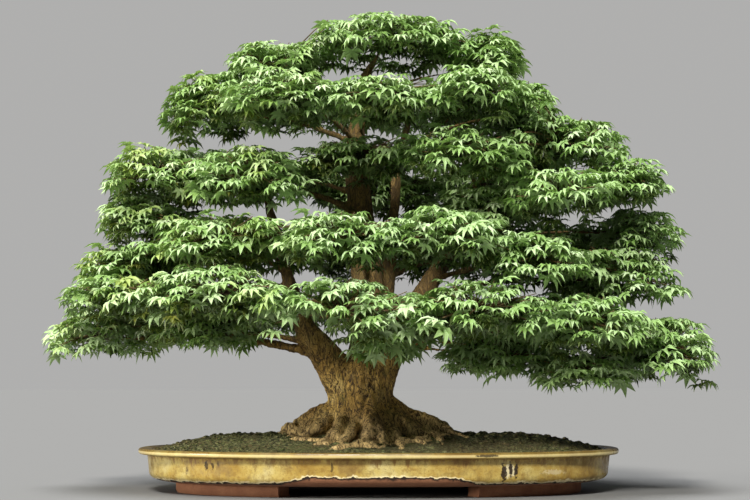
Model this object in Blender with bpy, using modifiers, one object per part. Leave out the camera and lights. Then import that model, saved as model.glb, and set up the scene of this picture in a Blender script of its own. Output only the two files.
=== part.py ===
"""A maple bonsai in a shallow oval tray, for Blender 4.5. Metres, +Z up, origin on the table under the tray.

The tray stands on four feet and holds soil with a moss layer. The tree's wood is one grown piece: surface
roots, a short thick trunk, four rising limbs and a branch to each pad of leaves. A pad's closed solid stands
for the leaves that grow in that space. Under the soil are the drainage meshes, their clips and anchor wires.
"""

import math

import bmesh
import bpy
from mathutils import Matrix, Vector, noise

# ---------------------------------------------------------------- driving dimensions
TRAY_HALF_LENGTH = 0.332  # to the lip's outer edge, along X
TRAY_HALF_DEPTH = 0.215  # the same, along Y
OVAL_POWER = 2.3  # a little squarer than an ellipse
LIP_TOP = 0.060
BASE_Z = 0.0135  # underside of the tray, on feet this high
FLOOR_Z = 0.0215  # inside bottom of the tray
SOIL_EDGE_Z = 0.0525  # the soil's surface where it meets the wall
MOUND_TOP = 0.0785  # crest of the moss, round the trunk
MOUND_REACH = 0.115  # how far in from the wall the surface goes on rising
SOIL_EDGE_INSET = 0.0225
MOSS_THICKNESS = 0.005
MOSS_EDGE_INSET = 0.0236
OVAL_STEPS = 40
SHARP_ANGLE = math.radians(40)

FOOT_FROM, FOOT_TO = math.radians(11), math.radians(66)  # where a foot runs, round the oval
FOOT_OUTER, FOOT_INNER = 0.050, 0.078  # insets from the lip's edge
FOOT_STEPS = 7

DRAIN_X = 0.145
DRAIN_RADIUS = 0.012
DRAIN_SIDES = 20
MESH_SIDE = 0.036
MESH_CELLS = 5
MESH_WIRE = 0.0012
CLIP_RADIUS = 0.0008
ANCHOR_RADIUS = 0.0012

TOUCH_GAP = 0.0004  # left between pieces that rest on each other
MOSS_GAP = 0.0008
WOOD_VOXEL = 0.0022
WOOD_TRIANGLES_KEPT = 0.021
ROOM_TRIANGLES_KEPT = 0.06
BRANCH_CLEARANCE = 0.0026  # room cut round a branch where it enters its leaves
SQUARE_ROOM = 1.42  # that room is a square tube, which this makes wide enough for a round branch
ROOT_CLEARANCE = 0.0046  # the same where the roots lie in soil and moss
ROOT_ROOM_VOXEL = 0.006
THINNEST_BRANCH = 0.0032
BRANCH_ARCH = 0.055  # how far a branch arches up, as a share of its reach

PAD_SIDES, PAD_RINGS = 10, 6
PAD_UNDERSIDE = 0.42  # depth below the centre, as a share of the height above it
PAD_DROOP = 0.40  # how far the rim hangs, as a share of the half height
PAD_LOBES = 0.07  # how far the outline swells in and out
PAD_SPREAD, PAD_DEPTH = 1.12, 1.15  # grow every pad from its half size, outwards and upwards

# ---------------------------------------------------------------- the tree's layout
# Rising wood: (x, y, z, radius) from the base upwards.
LIMBS = {
    "trunk": [
        (-0.020, 0.000, 0.040, 0.060), (-0.021, 0.000, 0.074, 0.058), (-0.024, 0.000, 0.104, 0.051),
        (-0.025, 0.000, 0.138, 0.0455), (-0.024, 0.000, 0.166, 0.0430), (-0.022, 0.002, 0.184, 0.0310),
    ],
    "centre": [
        (-0.018, 0.006, 0.140, 0.034), (-0.013, 0.008, 0.215, 0.028), (-0.016, 0.008, 0.300, 0.0225),
        (-0.027, 0.000, 0.400, 0.0185), (-0.031, 0.000, 0.470, 0.0150), (-0.031, 0.000, 0.515, 0.0120),
        (-0.022, 0.002, 0.570, 0.0075), (-0.005, 0.000, 0.605, 0.0045),
    ],
    "left": [
        (-0.038, -0.004, 0.116, 0.024), (-0.050, -0.010, 0.150, 0.0270), (-0.070, -0.020, 0.182, 0.0235),
        (-0.093, -0.030, 0.212, 0.0180), (-0.110, -0.036, 0.244, 0.0130), (-0.122, -0.040, 0.285, 0.0100),
        (-0.140, -0.035, 0.340, 0.0080), (-0.150, -0.034, 0.385, 0.0062), (-0.160, -0.056, 0.424, 0.0042),
    ],
    "right": [
        (-0.014, -0.002, 0.118, 0.026), (-0.004, -0.002, 0.155, 0.0300), (0.011, -0.003, 0.192, 0.0270),
        (0.035, -0.004, 0.234, 0.0205), (0.062, -0.004, 0.272, 0.0160), (0.088, -0.004, 0.314, 0.0130),
        (0.116, 0.002, 0.365, 0.0105), (0.140, 0.005, 0.415, 0.0080), (0.158, 0.004, 0.455, 0.0060),
        (0.196, 0.000, 0.488, 0.0042),
    ],
    "back": [
        (-0.016, 0.010, 0.124, 0.022), (-0.006, 0.022, 0.168, 0.0240), (0.004, 0.040, 0.215, 0.0165),
        (0.014, 0.056, 0.300, 0.0110), (0.022, 0.060, 0.380, 0.0085), (0.026, 0.054, 0.450, 0.0065),
        (0.038, 0.058, 0.505, 0.0052), (0.052, 0.088, 0.556, 0.0038),
    ],
}

# Surface roots: compass direction in degrees from +X, reach, thickness at the trunk, sideways bend.
ROOTS = [
    (184, 0.136, 0.023, 0.10), (208, 0.112, 0.019, -0.20), (236, 0.100, 0.016, 0.20),
    (257, 0.104, 0.013, -0.12), (281, 0.116, 0.020, 0.12), (306, 0.106, 0.014, -0.22),
    (330, 0.122, 0.018, 0.18), (357, 0.146, 0.024, -0.06), (30, 0.106, 0.018, 0.20),
    (64, 0.098, 0.017, -0.20), (97, 0.094, 0.018, 0.15), (127, 0.102, 0.017, -0.15),
    (156, 0.110, 0.018, 0.18),
]

# Leaf pads: centre, half size, limb, height where the branch leaves it, and radius there.
PADS = {
    "apex_middle": ((0.012, -0.020, 0.635), (0.082, 0.105, 0.030), "centre", 0.585, 0.0045),
    "apex_right": ((0.152, 0.000, 0.603), (0.046, 0.100, 0.040), "centre", 0.540, 0.0045),
    "apex_left": ((-0.148, 0.000, 0.598), (0.058, 0.095, 0.032), "centre", 0.530, 0.0050),
    "upper_left": ((-0.242, 0.000, 0.540), (0.050, 0.085, 0.042), "centre", 0.485, 0.0055),
    "upper_left_front": ((-0.134, -0.130, 0.540), (0.056, 0.070, 0.031), "centre", 0.480, 0.0050),
    "upper_middle_front": ((-0.004, -0.160, 0.532), (0.060, 0.068, 0.027), "centre", 0.500, 0.0050),
    "upper_right_front": ((0.128, -0.135, 0.543), (0.060, 0.072, 0.031), "back", 0.460, 0.0055),
    "upper_right": ((0.207, 0.020, 0.543), (0.042, 0.085, 0.033), "back", 0.480, 0.0045),
    "upper_back_left": ((-0.098, 0.156, 0.560), (0.088, 0.070, 0.032), "centre", 0.500, 0.0050),
    "upper_back_right": ((0.106, 0.160, 0.558), (0.092, 0.072, 0.034), "back", 0.470, 0.0045),
    "shoulder_left": ((-0.310, -0.020, 0.443), (0.060, 0.090, 0.037), "centre", 0.385, 0.0060),
    "shoulder_left_front": ((-0.171, -0.115, 0.430), (0.066, 0.072, 0.038), "centre", 0.375, 0.0060),
    "middle_front": ((-0.036, -0.075, 0.462), (0.056, 0.048, 0.027), "centre", 0.425, 0.0050),
    "shoulder_right_front": ((0.104, -0.145, 0.460), (0.064, 0.066, 0.030), "right", 0.400, 0.0055),
    "shoulder_right": ((0.262, -0.010, 0.488), (0.082, 0.080, 0.034), "right", 0.430, 0.0050),
    "shoulder_back_left": ((-0.208, 0.140, 0.460), (0.100, 0.075, 0.036), "centre", 0.410, 0.0055),
    "shoulder_back": ((0.000, 0.190, 0.440), (0.080, 0.070, 0.034), "back", 0.390, 0.0050),
    "shoulder_back_right": ((0.205, 0.150, 0.450), (0.095, 0.070, 0.036), "right", 0.405, 0.0050),
    "edge_right": ((0.338, -0.040, 0.430), (0.056, 0.080, 0.030), "right", 0.375, 0.0055),
    "side_right_front": ((0.242, -0.150, 0.408), (0.062, 0.056, 0.027), "right", 0.360, 0.0055),
    "side_right": ((0.364, 0.010, 0.366), (0.050, 0.085, 0.030), "right", 0.330, 0.0055),
    "inner_right": ((0.150, -0.050, 0.400), (0.056, 0.054, 0.030), "right", 0.350, 0.0045),
    "side_left": ((-0.342, 0.020, 0.387), (0.046, 0.085, 0.030), "left", 0.335, 0.0055),
    "waist_left_front": ((-0.215, -0.130, 0.344), (0.072, 0.070, 0.031), "left", 0.300, 0.0055),
    "waist_left": ((-0.362, 0.000, 0.317), (0.050, 0.080, 0.028), "left", 0.275, 0.0055),
    "waist_middle_left": ((-0.058, -0.195, 0.339), (0.062, 0.072, 0.034), "centre", 0.300, 0.0060),
    "waist_middle_right": ((0.080, -0.205, 0.344), (0.064, 0.072, 0.033), "right", 0.305, 0.0060),
    "waist_right_front": ((0.208, -0.165, 0.316), (0.056, 0.070, 0.034), "right", 0.285, 0.0060),
    "waist_right": ((0.340, -0.035, 0.300), (0.062, 0.090, 0.038), "right", 0.262, 0.0060),
    "waist_back_left": ((-0.215, 0.150, 0.355), (0.105, 0.080, 0.038), "back", 0.310, 0.0050),
    "waist_back": ((0.000, 0.225, 0.350), (0.092, 0.076, 0.036), "back", 0.320, 0.0050),
    "waist_back_right": ((0.215, 0.165, 0.350), (0.100, 0.080, 0.038), "back", 0.300, 0.0050),
    "skirt_left": ((-0.350, -0.110, 0.270), (0.058, 0.064, 0.026), "left", 0.235, 0.0055),
    "skirt_left_front": ((-0.212, -0.190, 0.270), (0.072, 0.070, 0.037), "left", 0.245, 0.0060),
    "skirt_middle_left": ((-0.048, -0.250, 0.243), (0.082, 0.062, 0.040), "centre", 0.225, 0.0055),
    "skirt_middle_right": ((0.122, -0.245, 0.246), (0.072, 0.062, 0.036), "right", 0.235, 0.0060),
    "skirt_right_front": ((0.268, -0.195, 0.230), (0.060, 0.066, 0.036), "right", 0.222, 0.0060),
    "skirt_right": ((0.391, -0.040, 0.198), (0.062, 0.100, 0.044), "right", 0.212, 0.0060),
    "skirt_back_left": ((-0.235, 0.165, 0.255), (0.105, 0.080, 0.038), "back", 0.225, 0.0055),
    "skirt_back": ((-0.005, 0.235, 0.250), (0.100, 0.076, 0.036), "back", 0.230, 0.0055),
    "skirt_back_right": ((0.235, 0.165, 0.240), (0.110, 0.082, 0.040), "back", 0.220, 0.0055),
    "hem_left": ((-0.389, 0.000, 0.219), (0.068, 0.085, 0.034), "left", 0.182, 0.0080),
    "hem_left_inner": ((-0.240, -0.040, 0.225), (0.066, 0.075, 0.026), "left", 0.196, 0.0068),
    "hem_middle": ((0.008, -0.160, 0.200), (0.042, 0.044, 0.024), "right", 0.186, 0.0040),
    "hem_right": ((0.155, -0.060, 0.190), (0.066, 0.080, 0.030), "right", 0.192, 0.0055),
    "hem_right_front": ((0.272, -0.130, 0.170), (0.054, 0.060, 0.024), "right", 0.200, 0.0050),
}


# ---------------------------------------------------------------- helpers
def new_material(name, colour, roughness, metallic=0.0):
    material = bpy.data.materials.new(name)
    material.use_nodes = True
    shader = material.node_tree.nodes["Principled BSDF"]
    shader.inputs["Base Color"].default_value = (*colour, 1)
    shader.inputs["Roughness"].default_value = roughness
    shader.inputs["Metallic"].default_value = metallic
    return material


def new_object(name, mesh, collection, material=None):
    item = bpy.data.objects.new(name, mesh)
    collection.objects.link(item)
    if material:
        mesh.materials.append(material)
    if collection.name == "cutters":
        item.hide_render = True
        item.display_type = "WIRE"
    else:
        mesh.shade_smooth()
        mesh.set_sharp_from_angle(angle=SHARP_ANGLE)
    return item


def mesh_from(bm, name):
    bmesh.ops.recalc_face_normals(bm, faces=bm.faces)
    mesh = bpy.data.meshes.new(name)
    bm.to_mesh(mesh)
    bm.free()
    return mesh


def boolean(item, other, operation):
    step = item.modifiers.new(operation.lower(), "BOOLEAN")
    step.object = other
    step.operation = operation


def oval(radius, angle, z):
    """A turned point pressed onto the tray's oval. Its inset from the lip's edge stays the same all round."""
    inset = TRAY_HALF_LENGTH - radius
    c, s = math.cos(angle), math.sin(angle)
    power = 2 / OVAL_POWER
    x = radius * math.copysign(abs(c) ** power, c)
    y = max(TRAY_HALF_DEPTH - inset, 0.0) * math.copysign(abs(s) ** power, s)
    return Vector((x, y, z))


def turned_oval(name, profile, start=0.0, sweep=2 * math.pi, steps=OVAL_STEPS, closed=False, sinks=False):
    """Spins a profile of (inset, z) about Z and presses the result to the tray's oval.

    With sinks, all above the tray's wall settles towards the front and back, as the planted mound does.
    """
    bm = bmesh.new()
    spots = []
    for inset, z in profile:
        spots.append(bm.verts.new((TRAY_HALF_LENGTH - inset, 0, z)))
    edges = [bm.edges.new(pair) for pair in zip(spots, spots[1:])]
    if closed:
        edges.append(bm.edges.new((spots[-1], spots[0])))
    bmesh.ops.rotate(bm, verts=spots, cent=(0, 0, 0), matrix=Matrix.Rotation(start, 3, "Z"))
    whole = sweep > 6.28
    bmesh.ops.spin(
        bm, geom=spots + edges, cent=(0, 0, 0), axis=(0, 0, 1), angle=sweep, steps=steps, use_merge=whole
    )
    bmesh.ops.remove_doubles(bm, verts=bm.verts, dist=1e-5)
    if not whole:
        rims = [e for e in bm.edges if e.is_boundary]
        bmesh.ops.edgeloop_fill(bm, edges=rims)
    for v in bm.verts:
        inset = TRAY_HALF_LENGTH - math.hypot(v.co.x, v.co.y)
        v.co = oval(TRAY_HALF_LENGTH - inset, math.atan2(v.co.y, v.co.x), v.co.z)
        if sinks and v.co.z >= SOIL_EDGE_Z:
            v.co.z -= mound_sink(inset, v.co.y)
    return mesh_from(bm, name)


def smooth_line(points, steps):
    """Points on a smooth curve through (x, y, z, radius) points."""
    ends = [points[0], *points, points[-1]]
    found = []
    for i in range(len(points) - 1):
        a, b, c, d = (Vector(p) for p in ends[i : i + 4])
        for k in range(steps):
            t = k / steps
            found.append(
                0.5 * (2 * b + (c - a) * t + (2 * a - 5 * b + 4 * c - d) * t**2 + (3 * b - a - 3 * c + d) * t**3)
            )
    return found + [Vector(points[-1])]


def tube(points, name="tube", resolution=2):
    """A closed tube mesh through points of (x, y, z, radius)."""
    curve = bpy.data.curves.new(name, "CURVE")
    curve.dimensions = "3D"
    curve.bevel_depth = 1.0
    curve.bevel_resolution = resolution
    curve.use_fill_caps = True
    spline = curve.splines.new("POLY")
    spline.points.add(len(points) - 1)
    for spot, (x, y, z, radius) in zip(spline.points, points):
        spot.co = (x, y, z, 1)
        spot.radius = radius
    holder = bpy.data.objects.new(name, curve)
    bpy.context.scene.collection.objects.link(holder)
    bpy.context.view_layer.update()
    graph = bpy.context.evaluated_depsgraph_get()
    mesh = bpy.data.meshes.new_from_object(holder.evaluated_get(graph))
    bpy.data.objects.remove(holder)
    bm = bmesh.new()
    bm.from_mesh(mesh)
    bmesh.ops.remove_doubles(bm, verts=bm.verts, dist=1e-6)
    bpy.data.meshes.remove(mesh)
    return mesh_from(bm, name)


# ---------------------------------------------------------------- the tray and what it holds
def build_tray(parts, cutters, glaze):
    profile = [
        (TRAY_HALF_LENGTH, BASE_Z), (0.066, BASE_Z), (0.040, BASE_Z + 0.0012), (0.0220, BASE_Z + 0.0055),
        (0.0150, BASE_Z + 0.0110), (0.0135, 0.0350), (0.0125, 0.0485), (0.0105, 0.0512), (0.0030, 0.0520),
        (0.0, 0.0540), (0.0, LIP_TOP - 0.0020), (0.0025, LIP_TOP), (0.0115, LIP_TOP), (0.0185, 0.0575),
        (0.0220, 0.0400), (0.0290, 0.0270), (0.0420, 0.0225), (0.0600, FLOOR_Z), (TRAY_HALF_LENGTH, FLOOR_Z),
    ]
    tray = new_object("tray", turned_oval("tray", profile), parts, glaze)
    bite = 0.0012
    foot = [
        (FOOT_OUTER, BASE_Z + bite), (FOOT_OUTER + 0.004, 0.002), (FOOT_OUTER + 0.006, 0.0),
        (FOOT_INNER - 0.001, 0.0), (FOOT_INNER, BASE_Z + bite),
    ]
    for quarter, mirrored in enumerate((False, True, False, True)):
        turn = quarter * math.pi / 2
        start = turn + (math.pi / 2 - FOOT_TO if mirrored else FOOT_FROM)
        mesh = turned_oval("foot", foot, start, FOOT_TO - FOOT_FROM, FOOT_STEPS, closed=True)
        boolean(tray, new_object(f"foot_{quarter}", mesh, cutters), "UNION")
    for side in (-1, 1):
        bm = bmesh.new()
        bmesh.ops.create_cone(
            bm, cap_ends=True, segments=DRAIN_SIDES, radius1=DRAIN_RADIUS, radius2=DRAIN_RADIUS, depth=0.03
        )
        bmesh.ops.translate(bm, verts=bm.verts, vec=(side * DRAIN_X, 0, (BASE_Z + FLOOR_Z) / 2))
        boolean(tray, new_object("drain_hole", mesh_from(bm, "drain_hole"), cutters), "DIFFERENCE")
    return tray


def mound(inset, rise=0.0):
    """Height of the soil's surface at an inset from the lip's edge: low at the wall, level round the trunk."""
    share = min(max((inset - SOIL_EDGE_INSET) / MOUND_REACH, 0.0), 1.0)
    return SOIL_EDGE_Z + (MOUND_TOP - MOSS_THICKNESS - SOIL_EDGE_Z) * math.sin(share * math.pi / 2) + rise


def mound_sink(inset, y):
    """How far the mound has settled at a distance y from its middle line, on top of the slope at the wall."""
    away = min(abs(y) / (TRAY_HALF_DEPTH - SOIL_EDGE_INSET), 1.0)
    return (mound(inset) - SOIL_EDGE_Z) * math.sin(away * math.pi / 2) ** 2


def ground(x, y):
    """Height of the moss at (x, y), by closing in on the oval that passes there."""
    low, high = 0.0, TRAY_HALF_DEPTH
    for _ in range(24):
        inset = (low + high) / 2
        across = abs(x / (TRAY_HALF_LENGTH - inset)) ** OVAL_POWER
        along = abs(y / max(TRAY_HALF_DEPTH - inset, 1e-6)) ** OVAL_POWER
        low, high = (inset, high) if across + along < 1 else (low, inset)
    return mound(low) - mound_sink(low, y) + MOSS_THICKNESS


def build_soil(parts, cutters, soil_material, moss_material):
    insets = [0.032, 0.050, 0.075, 0.105, 0.1375, 0.175, 0.2149, TRAY_HALF_LENGTH]
    soil_profile = [
        (TRAY_HALF_LENGTH, FLOOR_Z + TOUCH_GAP), (0.0600, FLOOR_Z + TOUCH_GAP), (0.0426, 0.0230), (0.0296, 0.0276),
        (0.0226, 0.0402), (SOIL_EDGE_INSET, mound(SOIL_EDGE_INSET)),
    ] + [(i, mound(i)) for i in [MOSS_EDGE_INSET, *insets]]
    mesh = turned_oval("soil", soil_profile, sinks=True)
    soil = new_object("soil", mesh, parts, soil_material)
    low = [(i, mound(i, MOSS_GAP)) for i in reversed([MOSS_EDGE_INSET, *insets])]
    high = [(0.0216, mound(MOSS_EDGE_INSET, 0.0026))] + [(i, mound(i, MOSS_THICKNESS)) for i in insets]
    moss = new_object("moss", turned_oval("moss", low + high, sinks=True), parts, moss_material)
    for side in (-1, 1):
        bm = bmesh.new()
        bmesh.ops.create_cube(bm, size=1.0)
        bmesh.ops.scale(bm, verts=bm.verts, vec=(MESH_SIDE + 0.002, MESH_SIDE + 0.002, 0.010))
        bmesh.ops.translate(bm, verts=bm.verts, vec=(side * DRAIN_X, 0, FLOOR_Z))
        boolean(soil, new_object("mesh_recess", mesh_from(bm, "mesh_recess"), cutters), "DIFFERENCE")
    return soil, moss


def build_drainage(parts, cutters, soil, plastic, wire):
    pitch = (MESH_SIDE - MESH_WIRE) / MESH_CELLS
    low = BASE_Z - CLIP_RADIUS - TOUCH_GAP
    for side, word in ((-1, "left"), (1, "right")):
        x = side * DRAIN_X
        bm = bmesh.new()
        bmesh.ops.create_grid(bm, x_segments=MESH_CELLS, y_segments=MESH_CELLS, size=MESH_SIDE / 2 - MESH_WIRE / 2)
        mesh = mesh_from(bm, "drain_mesh")
        lattice = new_object(f"drain_mesh_{word}", mesh, parts, plastic)
        lattice.location = (x, 0, FLOOR_Z + MESH_WIRE / 2 + TOUCH_GAP)
        frame = lattice.modifiers.new("lattice", "WIREFRAME")
        frame.thickness = MESH_WIRE
        frame.use_boundary = True
        frame.use_even_offset = False
        top = FLOOR_Z + MESH_WIRE + 2 * TOUCH_GAP + CLIP_RADIUS + 0.0003
        clip = [
            (-3.2 * pitch, low), (-1.3 * pitch, low), (-pitch, low + 0.0014), (-pitch, top - 0.0014),
            (-0.7 * pitch, top), (0.7 * pitch, top), (pitch, top - 0.0014), (pitch, low + 0.0014),
            (1.3 * pitch, low), (3.2 * pitch, low),
        ]
        points = [(x + along, 0.0, z, CLIP_RADIUS) for along, z in clip]
        new_object(f"mesh_clip_{word}", tube(points, resolution=1), parts, wire)
        anchor = [
            (x, -0.055, BASE_Z - 0.0024, ANCHOR_RADIUS), (x, -0.013, BASE_Z - 0.0024, ANCHOR_RADIUS),
            (x, -pitch, BASE_Z + 0.0010, ANCHOR_RADIUS), (x, -pitch, FLOOR_Z + 0.006, ANCHOR_RADIUS),
            (x - side * 0.014, -pitch, 0.036, ANCHOR_RADIUS), (x - side * 0.029, -0.010, 0.0425, ANCHOR_RADIUS),
            (x - side * 0.044, -0.012, 0.0440, ANCHOR_RADIUS),
        ]
        line = smooth_line(anchor, 3)
        new_object(f"anchor_wire_{word}", tube(line, resolution=1), parts, wire)
        room = [(p[0], p[1], p[2], ANCHOR_RADIUS + TOUCH_GAP * 2) for p in line]
        room[-1] = (room[-1][0] - side * 0.002, *room[-1][1:])
        boolean(soil, new_object("wire_room", tube(room, resolution=1), cutters), "DIFFERENCE")


# ---------------------------------------------------------------- the wood
def limb_point(limb, height):
    """The point of a limb's line at a height."""
    line = smooth_line(LIMBS[limb], 8)
    return min(line, key=lambda p: abs(p[2] - height))


def root_line(direction, reach, thickness, bend):
    """A root that leaves the trunk's foot, swings sideways, lies along the moss and dives into it."""
    x, y, _, foot = LIMBS["trunk"][1]
    points = []
    for t in (0.0, 0.20, 0.40, 0.60, 0.78, 0.92, 1.05):
        angle = math.radians(direction) + bend * t * t
        out = foot * 0.45 + (reach - foot * 0.45) * t
        at_x, at_y = x + out * math.cos(angle), y + out * math.sin(angle)
        radius = thickness * (1 - 0.70 * t**1.1)
        z = ground(at_x, at_y) + 0.042 * max(1 - t, 0) ** 1.9 - radius * 0.25 - 0.016 * t**5
        points.append((at_x, at_y, z, radius))
    return points


def branch_line(pad):
    """A branch that leaves its limb outwards, rises in an easy arch and ends inside its pad."""
    centre, half, limb, height, radius = PADS[pad]
    start = limb_point(limb, height)
    under = Vector(centre) - Vector((0, 0, half[2] * 0.30))
    foot = Vector(start[:3])
    side = Vector((under.y - foot.y, foot.x - under.x, 0)) * 0.10 * math.sin(7 * centre[0] + 11 * centre[1])
    points = []
    arch = BRANCH_ARCH * math.hypot(under.x - foot.x, under.y - foot.y)
    for t in (0.0, 0.12, 0.30, 0.52, 0.75, 0.92):
        spot = foot.lerp(under, t)
        spot.z += arch * math.sin(math.pi * t**0.8)
        spot += side * math.sin(math.pi * t)
        points.append((*spot, max(radius * (1 - 0.72 * t), THINNEST_BRANCH)))
    return points


def longer(line, extra):
    """A line with both ends pushed out and its radius grown by the same amount."""
    grown = [list(p[:3]) + [p[3] + extra] for p in line]
    for end, inner in ((0, 1), (-1, -2)):
        way = (Vector(line[end][:3]) - Vector(line[inner][:3])).normalized() * extra
        grown[end][:3] = Vector(line[end][:3]) + way
    return grown


def tubes_mesh(name, lines, clearance=0.0):
    """Overlapping closed tubes along every line, grown by a clearance."""
    bm = bmesh.new()
    for line in lines:
        part = tube(longer(line, clearance) if clearance else line, resolution=3)
        bm.from_mesh(part)
        bpy.data.meshes.remove(part)
    mesh = bpy.data.meshes.new(name)
    bm.to_mesh(mesh)
    bm.free()
    return mesh


def one_skin(item, voxel, kept):
    skin = item.modifiers.new("one_skin", "REMESH")
    skin.mode = "VOXEL"
    skin.voxel_size = voxel
    skin.use_smooth_shade = True
    fewer = item.modifiers.new("fewer", "DECIMATE")
    fewer.ratio = kept
    return item


def build_wood(parts, cutters, bark):
    """The wood, the room its roots take from soil and moss, and the room each branch takes from its pad."""
    limbs = [smooth_line(points, 6) for points in LIMBS.values()]
    roots = [smooth_line(root_line(*root), 4) for root in ROOTS]
    branches = {pad: smooth_line(branch_line(pad), 4) for pad in PADS}
    mesh = tubes_mesh("wood", limbs + roots + list(branches.values()))
    wood = one_skin(new_object("trunk_and_branches", mesh, parts, bark), WOOD_VOXEL, WOOD_TRIANGLES_KEPT)
    mesh = tubes_mesh("root_room", limbs[:1] + roots, ROOT_CLEARANCE)
    root_room = one_skin(new_object("root_room", mesh, cutters), ROOT_ROOM_VOXEL, ROOM_TRIANGLES_KEPT)
    return wood, root_room, limbs, branches


# ---------------------------------------------------------------- the leaf pads
def pad_mesh(name, half):
    """A domed cushion with a shallow hollow underside, a drooping rim and a gently lobed outline."""
    bm = bmesh.new()
    bmesh.ops.create_uvsphere(bm, u_segments=PAD_SIDES, v_segments=PAD_RINGS, radius=1.0)
    seed = sum(ord(letter) for letter in name)
    for v in bm.verts:
        out = min(math.hypot(v.co.x, v.co.y), 1.0)
        angle = math.atan2(v.co.y, v.co.x)
        swell = 1 + PAD_LOBES * (math.sin(3 * angle + seed) + 0.6 * math.sin(5 * angle + 2 * seed))
        rough = 1 + 0.10 * noise.noise(Vector(v.co) * 1.7 + Vector((seed, 0, 0)))
        z = v.co.z * rough if v.co.z > 0 else v.co.z * PAD_UNDERSIDE
        z -= PAD_DROOP * out**4
        wide = swell * PAD_SPREAD
        v.co = (v.co.x * wide * half[0], v.co.y * wide * half[1], z * half[2] * PAD_DEPTH)
    return mesh_from(bm, name)


def build_pads(parts, cutters, limbs, branches, leaves):
    """Every pad, with room cut for each limb or branch whose line comes near it."""
    for name, (centre, half, *_) in PADS.items():
        pad = new_object(f"leaves_{name}", pad_mesh(name, half), parts, leaves)
        pad.location = centre
        for line in [*limbs, *branches.values()]:
            inside = [i for i, p in enumerate(line) if near_pad(p, centre, half)]
            if inside:
                first, last = max(inside[0] - 2, 0), min(inside[-1] + 3, len(line))
                wide = [(*p[:3], p[3] * SQUARE_ROOM) for p in line[first:last]]
                room = tube(longer(wide, BRANCH_CLEARANCE), resolution=0)
                boolean(pad, new_object("branch_room", room, cutters), "DIFFERENCE")


def near_pad(point, centre, half):
    margin = point[3] + 0.012
    return all(abs(point[k] - centre[k]) < half[k] * 1.12 + margin for k in range(3))


def build():
    for item in list(bpy.data.objects):
        bpy.data.objects.remove(item)
    parts = bpy.data.collections.new("maple_bonsai")
    cutters = bpy.data.collections.new("cutters")
    bpy.context.scene.collection.children.link(parts)
    bpy.context.scene.collection.children.link(cutters)
    glaze = new_material("yellow_glaze", (0.60, 0.46, 0.17), 0.3)
    dark_soil = new_material("soil", (0.09, 0.06, 0.035), 0.95)
    moss_green = new_material("moss", (0.06, 0.08, 0.02), 0.95)
    bark = new_material("bark", (0.25, 0.17, 0.07), 0.85)
    leaf_green = new_material("leaf", (0.16, 0.32, 0.07), 0.5)
    plastic = new_material("black_plastic", (0.02, 0.02, 0.02), 0.5)
    wire = new_material("wire", (0.35, 0.22, 0.14), 0.4, 1.0)
    build_tray(parts, cutters, glaze)
    soil, moss = build_soil(parts, cutters, dark_soil, moss_green)
    build_drainage(parts, cutters, soil, plastic, wire)
    _, root_room, limbs, branches = build_wood(parts, cutters, bark)
    boolean(soil, root_room, "DIFFERENCE")
    boolean(moss, root_room, "DIFFERENCE")
    build_pads(parts, cutters, limbs, branches, leaf_green)


build()
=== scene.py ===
import math
import random

import bmesh
import bpy
import numpy as np
from mathutils import Matrix, Vector, noise
from mathutils.bvhtree import BVHTree


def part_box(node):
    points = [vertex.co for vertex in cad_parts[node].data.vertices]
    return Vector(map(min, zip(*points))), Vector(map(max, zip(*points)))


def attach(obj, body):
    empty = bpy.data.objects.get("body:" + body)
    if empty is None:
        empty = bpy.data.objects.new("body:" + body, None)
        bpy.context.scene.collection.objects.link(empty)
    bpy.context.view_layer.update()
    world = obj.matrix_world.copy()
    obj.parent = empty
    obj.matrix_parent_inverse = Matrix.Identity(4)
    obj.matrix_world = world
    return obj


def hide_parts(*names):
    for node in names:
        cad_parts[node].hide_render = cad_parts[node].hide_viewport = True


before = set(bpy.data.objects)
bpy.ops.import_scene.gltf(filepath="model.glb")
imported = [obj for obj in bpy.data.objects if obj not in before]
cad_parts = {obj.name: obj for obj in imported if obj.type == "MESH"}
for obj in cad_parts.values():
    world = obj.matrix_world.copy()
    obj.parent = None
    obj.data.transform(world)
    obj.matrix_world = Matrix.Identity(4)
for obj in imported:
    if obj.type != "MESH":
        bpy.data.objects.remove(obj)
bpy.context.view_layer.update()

# ---------------------------------------------------------------- sizes and places, in metres
TRAY_LOW, TRAY_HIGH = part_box("tray")
TRAY_HALF_LENGTH = (TRAY_HIGH.x - TRAY_LOW.x) / 2
TRAY_HALF_DEPTH = (TRAY_HIGH.y - TRAY_LOW.y) / 2
LIP_TOP = TRAY_HIGH.z
BASE_Z = 0.0135  # the tray's underside
FLOOR_Z = 0.0215  # its inside bottom
OVAL_POWER = 2.3  # a little squarer than an ellipse
OVAL_STEPS = 220
FOOT_FROM, FOOT_TO = math.radians(11), math.radians(66)  # where a foot runs, round the oval
FOOT_OUTER, FOOT_INNER = 0.050, 0.078  # insets from the lip's edge
FOOT_DROPS = (0.006, 0.0045, 0.003)  # the steps in which a foot is drawn down
DRAIN_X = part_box("drain_mesh_right")[0].x / 2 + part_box("drain_mesh_right")[1].x / 2
DRAIN_RADIUS = 0.012

GLAZE_EDGE_Z = 0.0192  # where the glaze stops, at the ends
GLAZE_ARCH = 0.0088  # how much higher it stops in the middle of the front and back
GLAZE_ARCH_REACH = 0.128
BEAD_HEIGHT = 0.0006

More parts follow.
